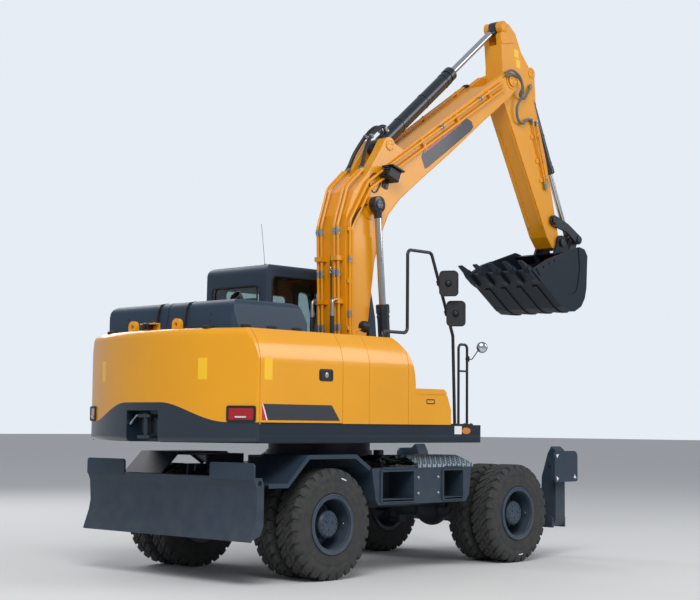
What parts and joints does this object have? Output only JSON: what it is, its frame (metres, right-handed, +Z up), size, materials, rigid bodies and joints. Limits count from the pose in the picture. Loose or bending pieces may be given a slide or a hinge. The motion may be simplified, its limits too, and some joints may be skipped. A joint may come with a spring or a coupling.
{
  "type": "wheeled excavator",
  "caption": "Wheeled excavator with a one-piece boom, arm and bucket, twin tyres, dozer blade and outriggers; its boom, arm, bucket, cab, wheels, doors and hood move.",
  "frame": {"origin": "on the ground under the centre of the slewing ring", "axes": "+X forward, towards the bucket; +Y to the machine's left, the cab's side; +Z up"},
  "size_m": [6.89, 2.5416, 6.4199],
  "materials": {
    "chassis_paint": "satin",
    "ring_steel": "machined",
    "tread_plate": "chequered",
    "cylinder_paint": "gloss",
    "chrome": "polished",
    "tyre": "matte",
    "rim_paint": "satin",
    "skirt_paint": "satin",
    "yellow_paint": "gloss",
    "engine_paint": "satin",
    "hood_paint": "satin",
    "exhaust_steel": "brushed",
    "rail_paint": "satin",
    "mirror_plastic": "matte",
    "cab_paint": "satin",
    "glass": "clear",
    "interior_plastic": "matte",
    "red_lens": "gloss",
    "boom_paint": "gloss",
    "link_paint": "satin",
    "bucket_paint": "satin"
  },
  "bodies": {
    "chassis": {"chassis_frame": "chassis_paint", "rear_axle": "chassis_paint", "front_axle": "chassis_paint", "swing_ring": "ring_steel", "fenders": "chassis_paint", "side_boxes": "chassis_paint", "step_treads": "tread_plate", "outrigger_frame": "chassis_paint"},
    "blade": {"blade": "chassis_paint"},
    "blade_barrels": {"blade_barrels": "cylinder_paint"},
    "blade_rods": {"blade_rods": "chrome"},
    "knuckle_left": {"knuckle_left": "chassis_paint"},
    "knuckle_right": {"knuckle_right": "chassis_paint"},
    "wheels_front_left": {"tyres_front_left": "tyre", "rims_front_left": "rim_paint"},
    "wheels_front_right": {"tyres_front_right": "tyre", "rims_front_right": "rim_paint"},
    "wheels_rear_left": {"tyres_rear_left": "tyre", "rims_rear_left": "rim_paint"},
    "wheels_rear_right": {"tyres_rear_right": "tyre", "rims_rear_right": "rim_paint"},
    "outrigger_left": {"outrigger_left": "chassis_paint"},
    "outrigger_right": {"outrigger_right": "chassis_paint"},
    "outrigger_barrel_left": {"outrigger_barrel_left": "cylinder_paint"},
    "outrigger_barrel_right": {"outrigger_barrel_right": "cylinder_paint"},
    "outrigger_rod_left": {"outrigger_rod_left": "chrome"},
    "outrigger_rod_right": {"outrigger_rod_right": "chrome"},
    "house": {"deck": "skirt_paint", "counterweight": "yellow_paint", "engine_block": "engine_paint", "body_panels": "yellow_paint", "tool_box": "yellow_paint", "handrail": "rail_paint", "mirrors": "mirror_plastic", "cab_shell": "cab_paint", "cab_glass": "glass", "cab_interior": "interior_plastic", "lamps": "red_lens"},
    "hood": {"hood": "hood_paint", "exhaust": "exhaust_steel"},
    "side_door_right": {"side_door_right": "yellow_paint"},
    "side_door_left": {"side_door_left": "yellow_paint"},
    "cab_door": {"cab_door": "cab_paint", "cab_door_glass": "glass"},
    "boom": {"boom": "boom_paint", "boom_pipes": "boom_paint"},
    "boom_barrels": {"boom_barrels": "cylinder_paint"},
    "boom_rods": {"boom_rods": "chrome"},
    "arm": {"arm": "boom_paint"},
    "arm_barrel": {"arm_barrel": "cylinder_paint"},
    "arm_rod": {"arm_rod": "chrome"},
    "bucket_barrel": {"bucket_barrel": "cylinder_paint"},
    "bucket_rod": {"bucket_rod": "chrome"},
    "tipping_links": {"tipping_links": "link_paint"},
    "bucket_link": {"bucket_link": "link_paint"},
    "bucket": {"bucket": "bucket_paint"}
  },
  "joints": [
    {"name": "swing", "type": "hinge", "parent": "chassis", "child": "house", "pos_m": [0, 0, 1.3], "axis": [0, 0, 1], "continuous": true},
    {"name": "boom_lift", "type": "hinge", "parent": "house", "child": "boom", "pos_m": [0.25, -0.09, 1.85], "axis": [0, -1, 0], "range_deg": [-85, 8]},
    {"name": "boom_barrels_turn", "type": "hinge", "parent": "house", "child": "boom_barrels", "pos_m": [0.68, -0.09, 1.5], "axis": [0, -1, 0], "range_deg": [-84.5, 8.2]},
    {"name": "boom_rods_slide", "type": "slide", "parent": "boom_barrels", "child": "boom_rods", "axis": [-0.088, 0, 0.9961], "range_m": [-0.76, 0.08]},
    {"name": "arm_swing", "type": "hinge", "parent": "boom", "child": "arm", "pos_m": [2.98, -0.09, 5.675], "axis": [0, 1, 0], "range_deg": [-90, 20]},
    {"name": "arm_barrel_turn", "type": "hinge", "parent": "boom", "child": "arm_barrel", "pos_m": [0.765, -0.09, 4.56], "axis": [0, 1, 0], "range_deg": [-0.5, 1.2]},
    {"name": "arm_rod_slide", "type": "slide", "parent": "arm_barrel", "child": "arm_rod", "axis": [0.7694, 0, 0.6388], "range_m": [-0.935, 0.215]},
    {"name": "bucket_curl", "type": "hinge", "parent": "arm", "child": "bucket", "pos_m": [4.06, -0.09, 3.79], "axis": [0, 1, 0], "range_deg": [-125, 15]},
    {"name": "tipping_links_turn", "type": "hinge", "parent": "arm", "child": "tipping_links", "pos_m": [3.902, -0.09, 4.057], "axis": [0, 1, 0], "range_deg": [-95, 12]},
    {"name": "bucket_link_turn", "type": "hinge", "parent": "bucket", "child": "bucket_link", "pos_m": [4.3, -0.09, 3.45], "axis": [0, 1, 0], "range_deg": [-11.5, 91]},
    {"name": "bucket_barrel_turn", "type": "hinge", "parent": "arm", "child": "bucket_barrel", "pos_m": [3.467, -0.09, 5.86], "axis": [0, 1, 0], "range_deg": [-0.2, 0.7]},
    {"name": "bucket_rod_slide", "type": "slide", "parent": "bucket_barrel", "child": "bucket_rod", "axis": [0.4312, 0, -0.9022], "range_m": [-0.815, 0.1]},
    {"name": "blade_lift", "type": "hinge", "parent": "chassis", "child": "blade", "pos_m": [-1.45, 0, 0.56], "axis": [0, 1, 0], "range_deg": [-38, 3]},
    {"name": "blade_barrels_turn", "type": "hinge", "parent": "chassis", "child": "blade_barrels", "pos_m": [-1.4, 0, 1.01], "axis": [0, 1, 0], "range_deg": [-24.2, 2.2]},
    {"name": "blade_rods_slide", "type": "slide", "parent": "blade_barrels", "child": "blade_rods", "axis": [-0.952, 0, -0.306], "range_m": [-0.022, 0.243]},
    {"name": "outrigger_left_swing", "type": "hinge", "parent": "chassis", "child": "outrigger_left", "pos_m": [2.83, 1, 0.4], "axis": [1, 0, 0], "range_deg": [-105, 0]},
    {"name": "outrigger_barrel_left_turn", "type": "hinge", "parent": "chassis", "child": "outrigger_barrel_left", "pos_m": [2.83, 0.4, 0.82], "axis": [1, 0, 0], "range_deg": [-9.6, 0.2]},
    {"name": "outrigger_rod_left_slide", "type": "slide", "parent": "outrigger_barrel_left", "child": "outrigger_rod_left", "axis": [0, 0.9558, -0.2941], "range_m": [-0.005, 0.38]},
    {"name": "steer_left", "type": "hinge", "parent": "chassis", "child": "knuckle_left", "pos_m": [1.85, 0.575, 0.53], "axis": [0, 0, 1], "range_deg": [-25, 25]},
    {"name": "wheels_front_left_roll", "type": "hinge", "parent": "knuckle_left", "child": "wheels_front_left", "pos_m": [1.85, 0.9475, 0.53], "axis": [0, 1, 0], "continuous": true},
    {"name": "wheels_rear_left_roll", "type": "hinge", "parent": "chassis", "child": "wheels_rear_left", "pos_m": [-1.05, 0.9475, 0.53], "axis": [0, 1, 0], "continuous": true},
    {"name": "side_door_left_open", "type": "hinge", "parent": "house", "child": "side_door_left", "pos_m": [-2.017, 1.238, 1.5], "axis": [0, 0, 1], "range_deg": [0, 85]},
    {"name": "outrigger_right_swing", "type": "hinge", "parent": "chassis", "child": "outrigger_right", "pos_m": [2.83, -1, 0.4], "axis": [-1, 0, 0], "range_deg": [-105, 0]},
    {"name": "outrigger_barrel_right_turn", "type": "hinge", "parent": "chassis", "child": "outrigger_barrel_right", "pos_m": [2.83, -0.4, 0.82], "axis": [-1, 0, 0], "range_deg": [-9.6, 0.2]},
    {"name": "outrigger_rod_right_slide", "type": "slide", "parent": "outrigger_barrel_right", "child": "outrigger_rod_right", "axis": [0, -0.9558, -0.2941], "range_m": [-0.005, 0.38]},
    {"name": "steer_right", "type": "hinge", "parent": "chassis", "child": "knuckle_right", "pos_m": [1.85, -0.575, 0.53], "axis": [0, 0, 1], "range_deg": [-25, 25]},
    {"name": "wheels_front_right_roll", "type": "hinge", "parent": "knuckle_right", "child": "wheels_front_right", "pos_m": [1.85, -0.9475, 0.53], "axis": [0, 1, 0], "continuous": true},
    {"name": "wheels_rear_right_roll", "type": "hinge", "parent": "chassis", "child": "wheels_rear_right", "pos_m": [-1.05, -0.9475, 0.53], "axis": [0, 1, 0], "continuous": true},
    {"name": "side_door_right_open", "type": "hinge", "parent": "house", "child": "side_door_right", "pos_m": [-2.017, -1.238, 1.5], "axis": [0, 0, -1], "range_deg": [0, 85]},
    {"name": "hood_open", "type": "hinge", "parent": "house", "child": "hood", "pos_m": [-1.086, 0, 2.382], "axis": [0, 1, 0], "range_deg": [0, 60]},
    {"name": "cab_door_open", "type": "hinge", "parent": "house", "child": "cab_door", "pos_m": [-0.357, 1.238, 1.55], "axis": [0, 0, 1], "range_deg": [0, 90]}
  ],
  "couplings": [
    {"joint": "boom_barrels_turn", "follows": "boom_lift", "ratio": 0.991},
    {"joint": "boom_rods_slide", "follows": "boom_lift", "m_per_rad": 0.5047},
    {"joint": "arm_barrel_turn", "follows": "arm_swing", "ratio": -0.01},
    {"joint": "arm_rod_slide", "follows": "arm_swing", "m_per_rad": 0.5898},
    {"joint": "tipping_links_turn", "follows": "bucket_curl", "ratio": 0.75},
    {"joint": "bucket_link_turn", "follows": "bucket_curl", "ratio": -0.718},
    {"joint": "bucket_barrel_turn", "follows": "bucket_curl", "ratio": -0.004},
    {"joint": "bucket_rod_slide", "follows": "bucket_curl", "m_per_rad": 0.371},
    {"joint": "blade_barrels_turn", "follows": "blade_lift", "ratio": 0.629},
    {"joint": "blade_rods_slide", "follows": "blade_lift", "m_per_rad": -0.3618},
    {"joint": "outrigger_barrel_left_turn", "follows": "outrigger_left_swing", "ratio": 0.09},
    {"joint": "outrigger_rod_left_slide", "follows": "outrigger_left_swing", "m_per_rad": -0.205},
    {"joint": "outrigger_barrel_right_turn", "follows": "outrigger_right_swing", "ratio": 0.09},
    {"joint": "outrigger_rod_right_slide", "follows": "outrigger_right_swing", "m_per_rad": -0.205},
    {"joint": "steer_right", "follows": "steer_left", "ratio": 1}
  ]
}
